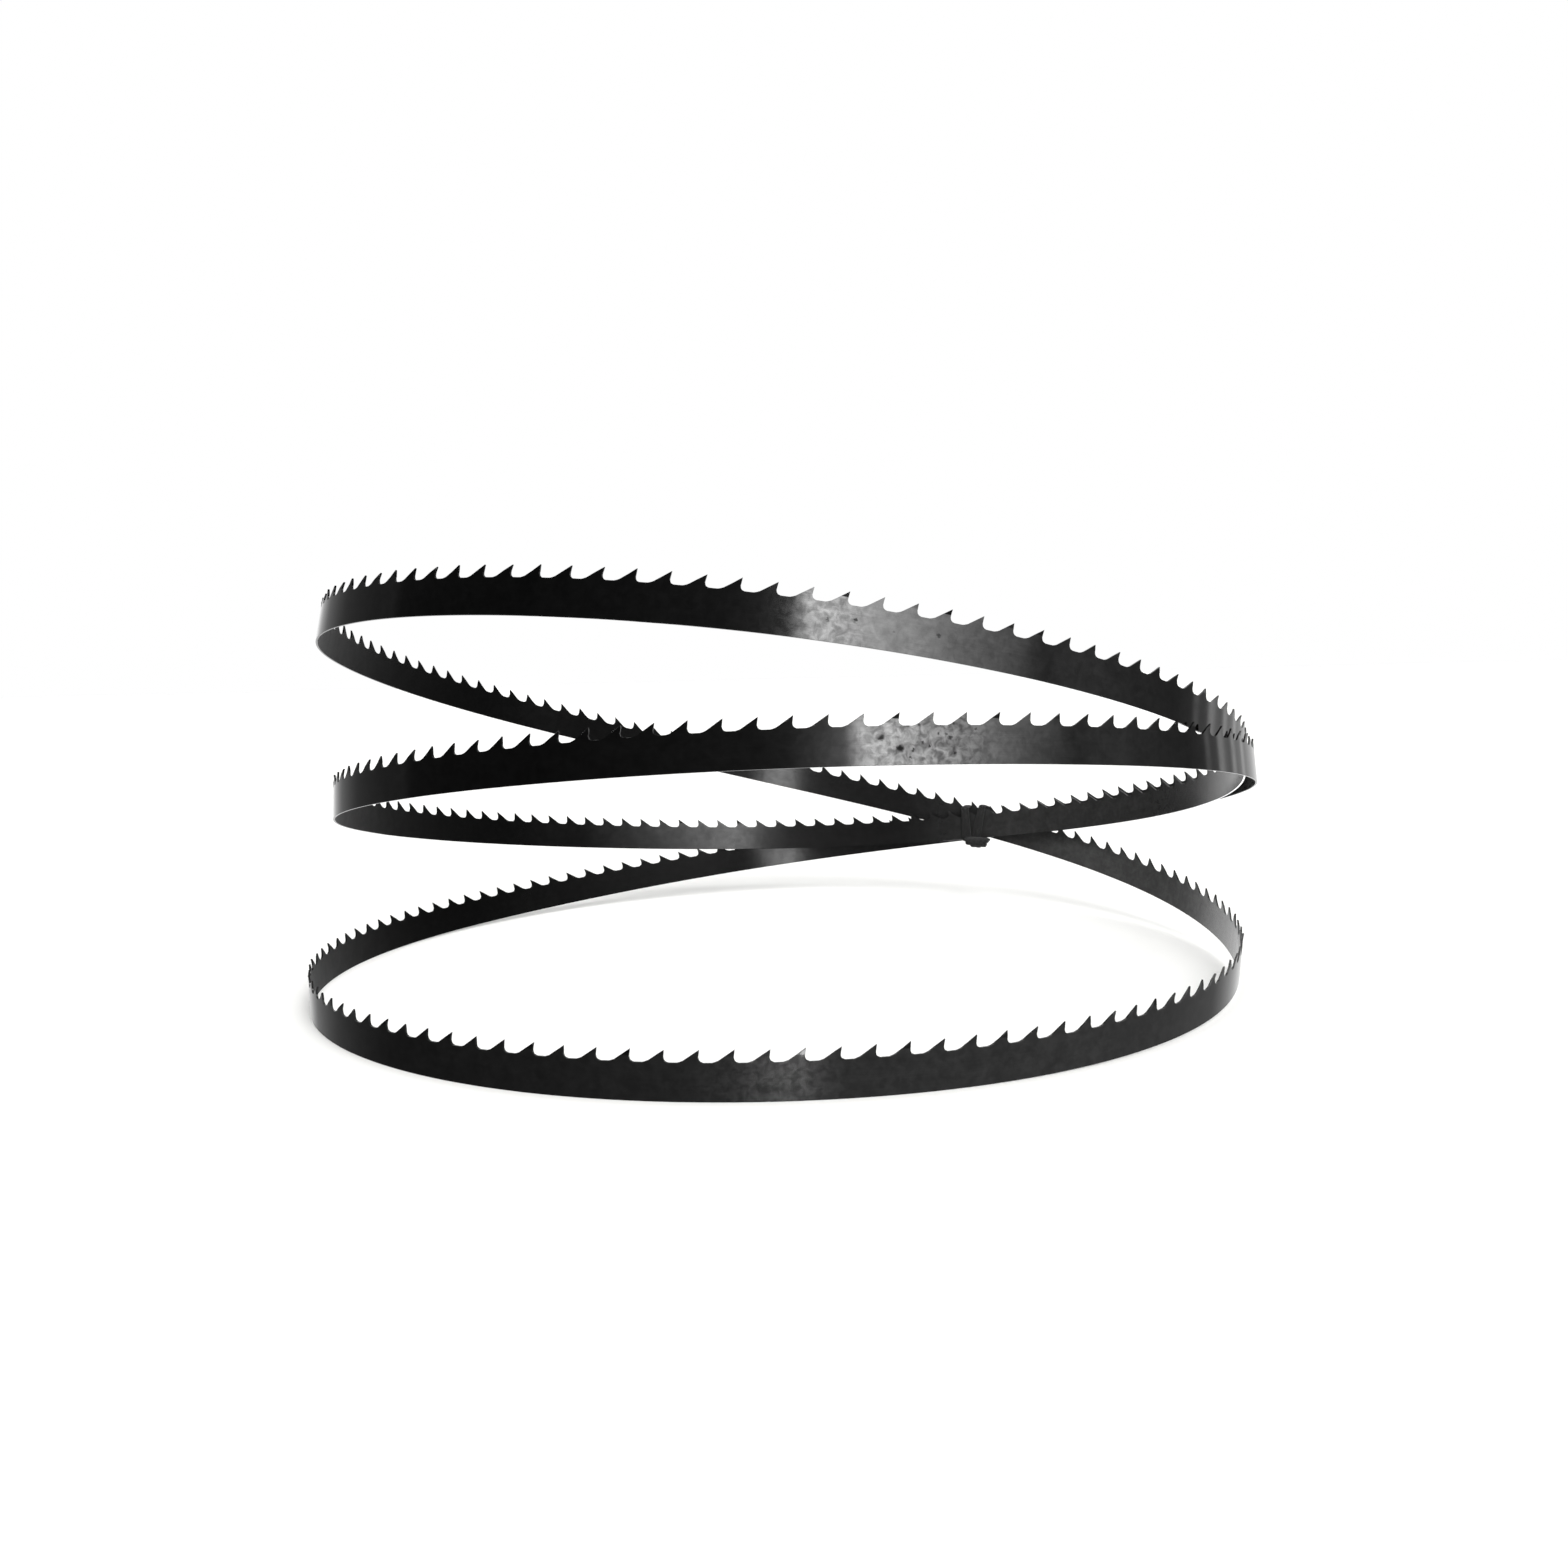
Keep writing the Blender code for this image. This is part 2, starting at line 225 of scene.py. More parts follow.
for name, (power, _, _) in LIGHTS.items():
    patch = add(room, "ShaderNodeMath", {0: ramps[name + " across"], 1: ramps[name + " upwards"]},
                operation="MULTIPLY")
    lit = add(room, "ShaderNodeMath", {0: patch, 1: power, 2: lit}, operation="MULTIPLY_ADD")

# %% Show the room to the steel, and plain white to the camera
glow = add(room, "ShaderNodeBackground", {"Color": (1.0, 1.0, 1.0, 1.0), "Strength": lit})
backdrop = add(room, "ShaderNodeBackground", {"Color": linear("#ffffff"), "Strength": 1.0})
seen = add(room, "ShaderNodeLightPath").outputs["Is Camera Ray"]
mixed = add(room, "ShaderNodeMixShader", {0: seen, 1: glow, 2: backdrop})
add(room, "ShaderNodeOutputWorld", {0: mixed})
print("world:", len(room.nodes), "nodes")

# The standard view keeps white paper white and dark steel black, as the photograph does.
bpy.context.scene.view_settings.view_transform = "Standard"

# %% [markdown]
# ## The path of the band
#
# Folded in three, the band follows one closed curve that goes round three times. Eight
# control points a turn are enough for a smooth cubic B-spline. A springy strip can't bend
# in its own plane, so its width always stands along the binormal of the curve: the
# direction at right angles to both its travel and its bend.

# %% Sizes of the band
BAND_WIDTH = 12.7 * MM
BAND_THICKNESS = 0.635 * MM
TOOTH_PITCH = 25.4 / 3 * MM
TOOTH_COUNT = 332
TOOTH_PHASE = 0.043
WELD_TOOTH = 249
TURNS = 3
FIRST_ANGLE = -math.pi
PATH_SAMPLES = 4320
COIL_POINTS = (                         # distance from the middle and height, in millimetres
    (147, 108), (146, 120), (146, 113), (146, 86), (148, 52), (144, 27), (144, 16), (147, 27),
    (145, 50), (143, 71), (142, 81), (151, 75), (150, 55), (151, 28), (146, 12), (145, 0),
    (153, 0), (156, 0), (151, 0), (148, 0), (143, 4), (148, 19), (148, 45), (148, 78),
)


# %% A point on the closed curve
def spline(share, order):
    """Value and derivatives of the closed cubic B-spline through the coil points."""
    points = np.array(COIL_POINTS, float) * MM
    count = len(points)
    place = share * count
    start = np.floor(place).astype(int)
    u = (place - start)[:, None]
    if order == 0:
        weights = ((1 - u) ** 3 / 6, (3 * u**3 - 6 * u**2 + 4) / 6,
                   (-3 * u**3 + 3 * u**2 + 3 * u + 1) / 6, u**3 / 6)
    elif order == 1:
        weights = (-(1 - u) ** 2 / 2, (9 * u**2 - 12 * u) / 6,
                   (-9 * u**2 + 6 * u + 3) / 6, u**2 / 2)
    else:
        weights = (1 - u, 3 * u - 2, -3 * u + 1, u)
    total = sum(w * points[(start + i - 1) % count] for i, w in enumerate(weights))
    return total * (count / (TURNS * 2 * math.pi)) ** order


# %% The curve's directions there
def coil_frame(angle):
    """Back edge point, travel, width and outward directions at an angle round the coils."""
    share = (angle - FIRST_ANGLE) / (TURNS * 2 * math.pi)
    radius, height = spline(share, 0).T
    radius_1, height_1 = spline(share, 1).T
    radius_2, height_2 = spline(share, 2).T
    cos, sin = np.cos(angle), np.sin(angle)
    point = np.stack((radius * cos, radius * sin, height), 1)
    first = np.stack((radius_1 * cos - radius * sin, radius_1 * sin + radius * cos, height_1), 1)
    second = np.stack((radius_2 * cos - 2 * radius_1 * sin - radius * cos,
                       radius_2 * sin + 2 * radius_1 * cos - radius * sin, height_2), 1)
    along = first / np.linalg.norm(first, axis=1)[:, None]
    across = np.cross(first, second)
    across /= np.linalg.norm(across, axis=1)[:, None]
    return point, along, across, np.cross(along, across)


# %% Measure the curve
band_length = TOOTH_COUNT * TOOTH_PITCH
coil_angles = FIRST_ANGLE + np.linspace(0, TURNS * 2 * math.pi, PATH_SAMPLES + 1)
coil_points = coil_frame(coil_angles)[0]
coil_travel = np.concatenate(((0.0,), np.cumsum(np.linalg.norm(np.diff(coil_points, axis=0), axis=1))))
coil_scale = band_length / coil_travel[-1]
coil_travel *= coil_scale
coil_centre = coil_scale * (coil_points.min(0) + coil_points.max(0)) / 2
coil_centre[2] = 0.0


def band_frame(travel):
    """The coil's frame at a distance along the band, placed where the model has it."""
    angle = np.interp(np.mod(travel, band_length), coil_travel, coil_angles)
    point, along, across, outward = coil_frame(angle)
    return point * coil_scale - coil_centre, along, across, outward


print("band length:", round(band_length / MM), "mm, in", TURNS, "coils")

# %% [markdown]
# ## One tooth
#
# The teeth are milled with a hooked face, a round gullet, a flat floor and a straight
# back. One pitch of the band is enough, because all 332 are the same. It is drawn flat as
# an outline, given its thickness, and its sharp rim gets a small chamfer: real edges are
# never perfectly sharp, and that thin facet is what catches the light along the band.

# %% The outline of one pitch
GULLET_DEPTH = 3.2 * MM
GULLET_RADIUS = 1.1 * MM
GULLET_FLOOR = 2.2 * MM
HOOK_ANGLE = math.radians(8.0)
BACK_ROUND = 1.3 * MM
BACK_STEPS = (0.34, 0.67, 1.0)          # points on the soft start of the back
ARC_POINTS = 8
FLOOR_HEIGHT = BAND_WIDTH - GULLET_DEPTH
TIP_TRAVEL = (TOOTH_PITCH - GULLET_RADIUS / math.tan((math.pi / 2 - HOOK_ANGLE) / 2)
              + GULLET_DEPTH * math.tan(HOOK_ANGLE))
PLATE_START = GULLET_FLOOR / 2          # plates meet in the middle of a gullet floor


def tooth_outline():
    """Top edge of one pitch, from the middle of one gullet floor to the next."""
    slope = GULLET_DEPTH / (TIP_TRAVEL - GULLET_FLOOR - BACK_ROUND / 2)
    points = [(PLATE_START, FLOOR_HEIGHT), (GULLET_FLOOR, FLOOR_HEIGHT)]
    for share in BACK_STEPS:
        run = share * BACK_ROUND
        points.append((GULLET_FLOOR + run, FLOOR_HEIGHT + slope * run**2 / (2 * BACK_ROUND)))
    points.append((TIP_TRAVEL, BAND_WIDTH))
    for share in np.linspace(0, 1, ARC_POINTS):     # the gullet, from the face to the floor
        turn = math.pi - HOOK_ANGLE + share * (math.pi / 2 + HOOK_ANGLE)
        points.append((TOOTH_PITCH + GULLET_RADIUS * math.cos(turn),
                       FLOOR_HEIGHT + GULLET_RADIUS * (1 + math.sin(turn))))
    points.append((TOOTH_PITCH + PLATE_START, FLOOR_HEIGHT))
    return points


# %% Where it is cut, and how far its rim is chamfered
CHAMFER = 0.06 * MM
FACE_INSET = 0.025 * MM                 # keeps this finer mesh inside the model's own box
COLUMNS = 5                             # cuts across the plate, so that it can bend
ROWS = (0.45 * BAND_WIDTH, FLOOR_HEIGHT - 0.4 * MM, FLOOR_HEIGHT + 0.5 * MM,
        FLOOR_HEIGHT + 1.1 * MM, FLOOR_HEIGHT + 1.55 * MM, FLOOR_HEIGHT + 1.7 * MM,
        FLOOR_HEIGHT + 1.9 * MM, FLOOR_HEIGHT + 2.5 * MM)


def cut(form, point, normal):
    """Cuts all the faces along a plane."""
    bmesh.ops.bisect_plane(form, geom=form.verts[:] + form.edges[:] + form.faces[:],
                           dist=1e-7, plane_co=point, plane_no=normal)


# %% Give it thickness, chamfers and a grid
def tooth_plate():
    """One pitch of the band, lying along X with its tooth towards +Y, open at its two ends."""
    ring = [(PLATE_START, 0.0), (PLATE_START + TOOTH_PITCH, 0.0)] + tooth_outline()[::-1]
    half = BAND_THICKNESS / 2 - FACE_INSET
    form = bmesh.new()
    lower = [form.verts.new((x, y, -half)) for x, y in ring]
    upper = [form.verts.new((x, y, half)) for x, y in ring]
    form.faces.new(upper)
    form.faces.new(lower[::-1])
    rim = []
    for here in range(len(ring)):
        after = (here + 1) % len(ring)
        if here not in (1, len(ring) - 1):
            wall = form.faces.new((lower[here], lower[after], upper[after], upper[here]))
            rim += [edge for edge in wall.edges if abs(edge.verts[0].co.z - edge.verts[1].co.z) < half]
    bmesh.ops.bevel(form, geom=rim, offset=CHAMFER, segments=1, profile=0.5, affect="EDGES")
    for column in range(1, COLUMNS + 1):
        cut(form, (PLATE_START + TOOTH_PITCH * column / (COLUMNS + 1), 0, 0), (1, 0, 0))
    for row in ROWS:
        cut(form, (0, row, 0), (0, 1, 0))
    bmesh.ops.triangulate(form, faces=[face for face in form.faces if len(face.verts) > 4])
    form.normal_update()

    mesh = bpy.data.meshes.new("tooth_plate")
    form.to_mesh(mesh)
    form.free()
    side = mesh.attributes.new("side", "FLOAT", "FACE")
    flat = [round(polygon.normal.z) if abs(polygon.normal.z) > 0.99 else 0 for polygon in mesh.polygons]
    side.data.foreach_set("value", np.array(flat, float))
    return mesh


# %% Make the plate that is repeated
plate = bpy.data.objects.new("tooth_plate", tooth_plate())
bpy.context.scene.collection.objects.link(plate)
print("one pitch:", len(plate.data.polygons), "faces")

# %% [markdown]
# ## The band as Geometry Nodes
#
# An Array modifier and a Curve modifier could repeat and bend the plate, but a curve can't
# be told how to lean. Geometry Nodes can: the path is a loop of points that carries the
# width and outward directions, and every point of the flat strip is looked up on it. The
# strip starts and ends at the weld, as the real one does, and its teeth are set in turn
# inward, outward and not at all, so that the kerf is wider than the band.

# %% The path as a loop of points
path_start = TOOTH_PHASE * TOOTH_PITCH - TIP_TRAVEL + WELD_TOOTH * TOOTH_PITCH
travel = path_start + np.arange(PATH_SAMPLES) * band_length / PATH_SAMPLES
point, along, across, outward = band_frame(travel)
path_mesh = bpy.data.meshes.new("band_path")
path_mesh.from_pydata(point.tolist(), [(i, (i + 1) % PATH_SAMPLES) for i in range(PATH_SAMPLES)], [])
for name, values in (("across", across), ("outward", outward)):
    path_mesh.attributes.new(name, "FLOAT_VECTOR", "POINT").data.foreach_set("vector", values.ravel())
path = bpy.data.objects.new("band_path", path_mesh)
bpy.context.scene.collection.objects.link(path)
print("band path:", len(path_mesh.vertices), "points")

# %% Inputs of the tree
TOOTH_SET = 0.25 * MM
SET_HEIGHT = 1.5 * MM                   # of the part that is bent, below the tip
SET_ORDER = (-1.0, 1.0, 0.0)            # inward, outward, straight
WELD_GAP = 0.02 * MM


def new_tree(name, sockets):
    """A Geometry Nodes tree with a geometry in and out and the named inputs."""
    tree = bpy.data.node_groups.new(name, "GeometryNodeTree")
    tree.interface.new_socket("Geometry", in_out="INPUT", socket_type="NodeSocketGeometry")
    for label, kind in sockets:
        tree.interface.new_socket(label, in_out="INPUT", socket_type="NodeSocket" + kind)
    tree.interface.new_socket("Geometry", in_out="OUTPUT", socket_type="NodeSocketGeometry")
    return tree, add(tree, "NodeGroupInput").outputs


band_tree, given = new_tree("toothed_band", (
    ("Plate", "Object"), ("Path", "Object"), ("Teeth", "Int"), ("Pitch", "Float"),
    ("Tip height", "Float"), ("Set", "Float"), ("Set height", "Float"), ("Weld gap", "Float"),
    ("Steel", "Material")))

# %% Repeat the plate along X
step = add(band_tree, "ShaderNodeCombineXYZ", {"X": given["Pitch"]})
row = add(band_tree, "GeometryNodeMeshLine", {"Count": given["Teeth"], "Offset": step}, mode="OFFSET")
shape = add(band_tree, "GeometryNodeObjectInfo", {"Object": given["Plate"]}).outputs["Geometry"]
plates = add(band_tree, "GeometryNodeInstanceOnPoints", {"Points": row, "Instance": shape})
index = add(band_tree, "GeometryNodeInputIndex")
numbered = add(band_tree, "GeometryNodeStoreNamedAttribute",
               {"Geometry": plates, "Name": "tooth", "Value": index},
               data_type="INT", domain="INSTANCE")
strip = add(band_tree, "GeometryNodeRealizeInstances", {0: numbered})

# %% Remember where each face lies on the flat strip, in millimetres, for the material
position = add(band_tree, "GeometryNodeInputPosition")
flat_travel, flat_height, flat_depth = add(band_tree, "ShaderNodeSeparateXYZ", {0: position}).outputs
side = add(band_tree, "GeometryNodeInputNamedAttribute", {"Name": "side"}, data_type="FLOAT")
travel_mm = add(band_tree, "ShaderNodeMath", {0: flat_travel, 1: 1 / MM}, operation="MULTIPLY")
height_mm = add(band_tree, "ShaderNodeMath", {0: flat_height, 1: 1 / MM}, operation="MULTIPLY")
on_band = add(band_tree, "ShaderNodeCombineXYZ", {0: travel_mm, 1: height_mm, 2: side})
strip = add(band_tree, "GeometryNodeStoreNamedAttribute",
            {"Geometry": strip, "Name": "band_place", "Value": on_band},
            data_type="FLOAT_VECTOR", domain="CORNER")

# %% Set the teeth
tooth = add(band_tree, "GeometryNodeInputNamedAttribute", {"Name": "tooth"}, data_type="INT")
in_turn = add(band_tree, "FunctionNodeIntegerMath", {0: tooth, 1: len(SET_ORDER)}, operation="MODULO")
bend_side = add(band_tree, "GeometryNodeIndexSwitch", {0: in_turn}, data_type="FLOAT")
bend_side.index_switch_items.new()
for order, bent_to in enumerate(SET_ORDER):
    bend_side.inputs[order + 1].default_value = bent_to
bend_line = add(band_tree, "ShaderNodeMath", {0: given["Tip height"], 1: given["Set height"]},
                operation="SUBTRACT")
reach = add(band_tree, "ShaderNodeMapRange", {0: flat_height, 1: bend_line, 2: given["Tip height"]})
bend = add(band_tree, "ShaderNodeMath", {0: bend_side, 1: given["Set"]}, operation="MULTIPLY")
set_depth = add(band_tree, "ShaderNodeMath", {0: bend, 1: reach, 2: flat_depth}, operation="MULTIPLY_ADD")

# %% Bend the strip round the coils
drawn = add(band_tree, "GeometryNodeObjectInfo", {"Object": given["Path"]}).outputs["Geometry"]
loop = add(band_tree, "GeometryNodeMeshToCurve", {0: drawn})
whole = add(band_tree, "GeometryNodeCurveLength", {0: loop})
wrapped = add(band_tree, "ShaderNodeMath", {0: flat_travel, 1: whole}, operation="FLOORED_MODULO")
looked_up = {}
for name in ("across", "outward"):
    stored = add(band_tree, "GeometryNodeInputNamedAttribute", {"Name": name}, data_type="FLOAT_VECTOR")
    looked_up[name] = add(band_tree, "GeometryNodeSampleCurve",
                          {"Curves": loop, "Value": stored, "Length": wrapped},
                          data_type="FLOAT_VECTOR", mode="LENGTH").outputs
width_way = looked_up["across"]["Value"]
risen = add(band_tree, "ShaderNodeVectorMath",
            {0: width_way, 1: flat_height, 2: looked_up["across"]["Position"]}, operation="MULTIPLY_ADD")
laid = add(band_tree, "ShaderNodeVectorMath", {0: looked_up["outward"]["Value"], 1: set_depth, 2: risen},
           operation="MULTIPLY_ADD")
strip = add(band_tree, "GeometryNodeStoreNamedAttribute",
            {"Geometry": strip, "Name": "width_way", "Value": width_way},
            data_type="FLOAT_VECTOR", domain="POINT")
bent = add(band_tree, "GeometryNodeSetPosition", {"Geometry": strip, "Position": laid})

# %% Weld the joints and finish the tree
welded = add(band_tree, "GeometryNodeMergeByDistance", {"Geometry": bent, "Distance": given["Weld gap"]})
smooth = add(band_tree, "GeometryNodeSetShadeSmooth", {"Geometry": welded})
coated = add(band_tree, "GeometryNodeSetMaterial", {"Geometry": smooth, "Material": given["Steel"]})
add(band_tree, "NodeGroupOutput", {0: coated})
print("band tree:", len(band_tree.nodes), "nodes")

# %% [markdown]
# ## Spring steel
#
# The band is cold-rolled spring steel, hardened and tempered in oil, which leaves a dark
# skin. Rolling leaves fine lines along its length, so a reflection smears across the width
# and stays sharp along it: that is what anisotropy does. The outer face is polished by
# handling, the inner one is duller. Scuffs and small pits lie where the photograph shows
# them, round three places, so masks measured in millimetres along the band place them.

# %% Steel sizes, in millimetres on the band
STEEL_DARK = "#343434"
STEEL_LIGHT = "#3c3c3c"
STEEL_PIT = "#0c0c0c"
LINE_WIDTH = 0.12                       # rolling lines, drawn coarser than the real 0.02
LINE_LENGTH = 14.0
LINE_FACES_APART = 7.0                  # so that the two faces have lines of their own
CLOUD_SIZE = 5.0
MOTTLE_SIZE = 2.0
FACES_APART = 40.0                      # the same for all the other patterns
WELD_REACH = 22.0                       # the ground strip on each side of the weld
SCUFFS = ((949.0, 16.0, 0.55), (1902.0, 22.0, 1.0))  # travel from the weld, reach, strength
SPOTS = ((951.5, 5.3, 0.50, 0.45), (958.0, 6.2, 0.55, 0.70), (978.5, 5.8, 0.50, 0.50),
         (967.5, 4.7, 0.30, 0.35), (1891.0, 6.6, 0.70, 0.75), (1895.5, 4.0, 0.85, 0.90),
         (1908.0, 6.4, 0.50, 0.60))     # travel, height, radius and depth
PIT_RAGGED = 1.1                        # how far a pit's outline wanders
MOST_PITTED = 1905.0
SPECK_SPACING = 2.6
SPECK_RADIUS = 0.34
GROUND_TOOTH = (5.8, 8.6, 10.2)         # from, to and above: the tooth dressed after welding
TOOTH_SOFT = 0.8

# %% Where a point lies on the band, and where in the coils
steel = bpy.data.materials.new("cold_rolled_spring_steel")
steel.use_nodes = True
skin = steel.node_tree
place = add(skin, "ShaderNodeAttribute", attribute_name="band_place").outputs["Vector"]
on_travel, on_height, on_side = add(skin, "ShaderNodeSeparateXYZ", {0: place}).outputs
from_weld = add(skin, "ShaderNodeMath", {0: on_travel, 1: 0.5 * band_length / MM}, operation="PINGPONG")
past_pitted = add(skin, "ShaderNodeMath", {0: on_travel, 1: MOST_PITTED}, operation="SUBTRACT")
from_pitted = add(skin, "ShaderNodeMath", {0: past_pitted}, operation="ABSOLUTE")
in_coils = add(skin, "ShaderNodeTexCoord").outputs["Object"]
across_coils, _, above_floor = add(skin, "ShaderNodeSeparateXYZ", {0: in_coils}).outputs

# %% Rolling lines, clouds, mottling and specks
line_place = add(skin, "ShaderNodeVectorMath",
                 {0: place, 1: (1 / LINE_LENGTH, 1 / LINE_WIDTH, LINE_FACES_APART)}, operation="MULTIPLY")
lines = add(skin, "ShaderNodeTexNoise",
            {"Vector": line_place, "Scale": 1.0, "Detail": 3.0, "Roughness": 0.65})
sided = add(skin, "ShaderNodeVectorMath", {0: place, 1: (1.0, 1.0, FACES_APART)}, operation="MULTIPLY")
clouds = add(skin, "ShaderNodeTexNoise", {"Vector": sided, "Scale": 1 / CLOUD_SIZE, "Detail": 5.0,
                                          "Roughness": 0.62, "Distortion": 0.4})
mottle = add(skin, "ShaderNodeTexNoise", {"Vector": sided, "Scale": 1 / MOTTLE_SIZE, "Detail": 3.0,
                                          "Roughness": 0.55, "Distortion": 0.6})
bumpy = add(skin, "ShaderNodeTexNoise", {"Vector": sided, "Scale": 1.6, "Detail": 2.0}).outputs["Color"]
ragged = add(skin, "ShaderNodeVectorMath", {0: bumpy, 1: (PIT_RAGGED, PIT_RAGGED, 0.0), 2: place},
             operation="MULTIPLY_ADD")
specks = add(skin, "ShaderNodeTexVoronoi", {"Vector": ragged, "Scale": 1 / SPECK_SPACING})

# %% Soft steps: masks and levels that change smoothly from one value to another
# Each has what it follows, where it starts and ends, and its value before and after.
speck_size = SPECK_RADIUS / SPECK_SPACING
first, last, over = GROUND_TOOTH
soft_steps = {
    "inner face": (on_side, -1.0, 0.0, 1.0, 0.0),
    "outer face": (on_side, 0.0, 1.0, 0.0, 1.0),
    "weld": (from_weld, 0.2 * WELD_REACH, WELD_REACH, 1.0, 0.0),
    "tooth from": (on_travel, first, first + TOOTH_SOFT, 0.0, 1.0),
    "tooth to": (on_travel, last, last + TOOTH_SOFT, 1.0, 0.0),
    "tooth above": (on_height, over, over + TOOTH_SOFT, 0.0, 1.0),
    "specks": (specks, 0.4 * speck_size, 1.6 * speck_size, 0.65, 0.0),
    "most pitted": (from_pitted, 7.0, 15.0, 1.0, 0.12),
    "clouds": (clouds, 0.3, 0.7, 0.0, 1.0),
    "mottle": (mottle, 0.28, 0.72, -1.0, 1.0),
    "lines": (lines, 0.3, 0.7, 0.92, 1.08),
    # painted shade: the inner face is darkened towards the left of the coils
    "dark half": (across_coils, -15 * MM, 15 * MM, 0.55, 1.0),
    "dark end": (across_coils, -148 * MM, -70 * MM, 0.15, 1.0),
    # painted light: the inner face is brightened low down at the right of the coils
    "dust below": (above_floor, 22 * MM, 30 * MM, 1.0, 0.0),
    "dust beyond": (across_coils, 92 * MM, 122 * MM, 0.0, 1.4),
    "thin haze": (across_coils, -15 * MM, 10 * MM, 0.0, 0.14),
    "thick haze": (across_coils, 45 * MM, 95 * MM, 0.0, 0.53),
    "polish": (clouds, 0.3, 0.7, 0.10, 0.06),
    "inner polish": (across_coils, -148 * MM, -90 * MM, 0.6, 0.12),
}
soft = {}
for name, (follows, low, high, before, after) in soft_steps.items():
    soft[name] = add(skin, "ShaderNodeMapRange", {0: follows, 1: low, 2: high, 3: before, 4: after},
                     interpolation_type="SMOOTHSTEP")
print("steel:", len(soft), "soft steps")

# %% Scuffs, the weld and its ground tooth
scuffed = 0.0
for centre, reach, strength in SCUFFS:
    past_centre = add(skin, "ShaderNodeMath", {0: on_travel, 1: centre}, operation="SUBTRACT")
    away_from = add(skin, "ShaderNodeMath", {0: past_centre}, operation="ABSOLUTE")
    scuff = add(skin, "ShaderNodeMapRange", {0: away_from, 1: 0.35 * reach, 2: reach, 3: strength, 4: 0.0},
                interpolation_type="SMOOTHSTEP")
    scuffed = add(skin, "ShaderNodeMath", {0: scuffed, 1: scuff}, operation="MAXIMUM")
scuffed = add(skin, "ShaderNodeMath", {0: scuffed, 1: soft["outer face"]}, operation="MULTIPLY")
weld_strip = add(skin, "ShaderNodeMath", {0: soft["weld"], 1: soft["outer face"]}, operation="MULTIPLY")
bright_tooth = soft["tooth above"]
for edge in ("tooth from", "tooth to"):
    bright_tooth = add(skin, "ShaderNodeMath", {0: bright_tooth, 1: soft[edge]}, operation="MULTIPLY")

# %% Pits: the large ones listed one by one, specks by chance inside the scuffs
SPECKS_IN_SCUFFS = 1.6

flat_ragged = add(skin, "ShaderNodeVectorMath", {0: ragged, 1: (1.0, 1.0, 0.0)}, operation="MULTIPLY")
pits = 0.0
for spot_travel, spot_height, radius, spot_depth in SPOTS:
    centre = (spot_travel + PIT_RAGGED / 2, spot_height + PIT_RAGGED / 2, 0.0)
    away_from = add(skin, "ShaderNodeVectorMath", {0: flat_ragged, 1: centre}, operation="DISTANCE")
    pit = add(skin, "ShaderNodeMapRange", {0: away_from.outputs["Value"], 1: 0.3 * radius, 2: 1.5 * radius,
                                           3: spot_depth, 4: 0.0}, interpolation_type="SMOOTHSTEP")
    pits = add(skin, "ShaderNodeMath", {0: pits, 1: pit}, operation="MAXIMUM")
where_scuffed = add(skin, "ShaderNodeMath", {0: scuffed, 1: SPECKS_IN_SCUFFS}, operation="MULTIPLY",
                    use_clamp=True)
specked = soft["specks"]
for mask in (soft["most pitted"], where_scuffed):
    specked = add(skin, "ShaderNodeMath", {0: specked, 1: mask}, operation="MULTIPLY")
pits = add(skin, "ShaderNodeMath", {0: pits, 1: specked}, operation="MAXIMUM")
pits = add(skin, "ShaderNodeMath", {0: pits, 1: soft["outer face"]}, operation="MULTIPLY")

# %% The inner face: painted shade towards one side of the coils, painted light low down at the other
painted_shade_level = add(skin, "ShaderNodeMath", {0: soft["dark half"], 1: soft["dark end"]}, operation="MULTIPLY")
painted_shade_depth = add(skin, "ShaderNodeMath", {0: painted_shade_level, 1: 1.0}, operation="SUBTRACT")
shade = add(skin, "ShaderNodeMath", {0: soft["inner face"], 1: painted_shade_depth, 2: 1.0}, operation="MULTIPLY_ADD")
painted_light = add(skin, "ShaderNodeMath", {0: soft["dust below"], 1: soft["dust beyond"]}, operation="MULTIPLY")
painted_light_gain = add(skin, "ShaderNodeMath", {0: painted_light, 1: soft["inner face"], 2: 1.0}, operation="MULTIPLY_ADD")

# %% Colour
SWING = 0.12                            # how much the mottling changes the tone,
SCUFF_SWING = 0.42                      # how much more in the scuffs
WELD_SWING = 0.25                       # and on the ground strip
WELD_PALER = 0.55
TOOTH_PALER = 1.4

tone = add(skin, "ShaderNodeMix", {"Factor": soft["clouds"], 6: linear(STEEL_DARK),
                                   7: linear(STEEL_LIGHT)}, data_type="RGBA").outputs[2]
swing = SWING
for mask, more in ((scuffed, SCUFF_SWING), (weld_strip, WELD_SWING)):
    swing = add(skin, "ShaderNodeMath", {0: mask, 1: more, 2: swing}, operation="MULTIPLY_ADD")
level = add(skin, "ShaderNodeMath", {0: soft["mottle"], 1: swing, 2: 1.0}, operation="MULTIPLY_ADD")
level = add(skin, "ShaderNodeMath", {0: level, 1: soft["lines"]}, operation="MULTIPLY")
paler = add(skin, "ShaderNodeMath", {0: level, 1: WELD_PALER}, operation="MULTIPLY")
for mask, more in ((weld_strip, paler), (bright_tooth, TOOTH_PALER)):
    level = add(skin, "ShaderNodeMath", {0: mask, 1: more, 2: level}, operation="MULTIPLY_ADD")
# the painted shade and painted light on the inner face scale its colour
for factor in (shade, painted_light_gain):
    level = add(skin, "ShaderNodeMath", {0: level, 1: factor}, operation="MULTIPLY")
tone = add(skin, "ShaderNodeVectorMath", {0: tone, "Scale": level}, operation="SCALE")
colour = add(skin, "ShaderNodeMix", {"Factor": pits, 6: tone, 7: linear(STEEL_PIT)}, data_type="RGBA")

